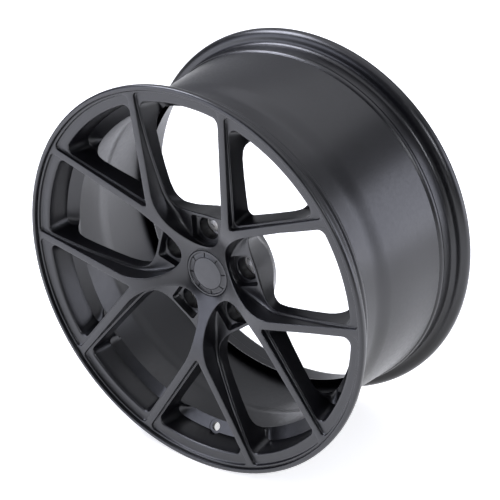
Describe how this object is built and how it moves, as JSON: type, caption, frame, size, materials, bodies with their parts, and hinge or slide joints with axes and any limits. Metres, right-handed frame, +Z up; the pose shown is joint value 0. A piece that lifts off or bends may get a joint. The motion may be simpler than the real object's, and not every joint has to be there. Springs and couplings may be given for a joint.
{
  "type": "forged wheel rim",
  "caption": "Monobloc forged car wheel rim with Y-shaped spokes, recessed outboard ring, deep barrel, conical-seat bolt pockets and a snap-in centre cap.",
  "frame": {"origin": "centre of the wheel, on its axis, halfway between the outboard and inboard flange lips", "axes": "+Y along the wheel's axis towards the car, -Y out of the visible face, +Z up; the valve hole is straight down"},
  "size_m": [0.4966, 0.2438, 0.4966],
  "materials": {
    "coated_alloy": "satin dark grey powder coat",
    "bare_alloy": "bare, turned",
    "cap_plastic": "satin",
    "badge": "satin",
    "spring_steel": "drawn wire"
  },
  "bodies": {
    "wheel": {"front_rim": "coated_alloy", "rim_barrel": "coated_alloy", "rear_flange": "coated_alloy", "hub": "coated_alloy", "lug_seats": "bare_alloy", "spoke_1": "coated_alloy", "spoke_2": "coated_alloy", "spoke_3": "coated_alloy", "spoke_4": "coated_alloy", "spoke_5": "coated_alloy"},
    "centre_cap": {"cap_body": "cap_plastic", "cap_badge": "badge", "cap_spring": "spring_steel"}
  },
  "joints": [
    {"name": "cap_pull", "type": "slide", "parent": "wheel", "child": "centre_cap", "axis": [0, -1, 0], "range_m": [0, 0.03]}
  ]
}
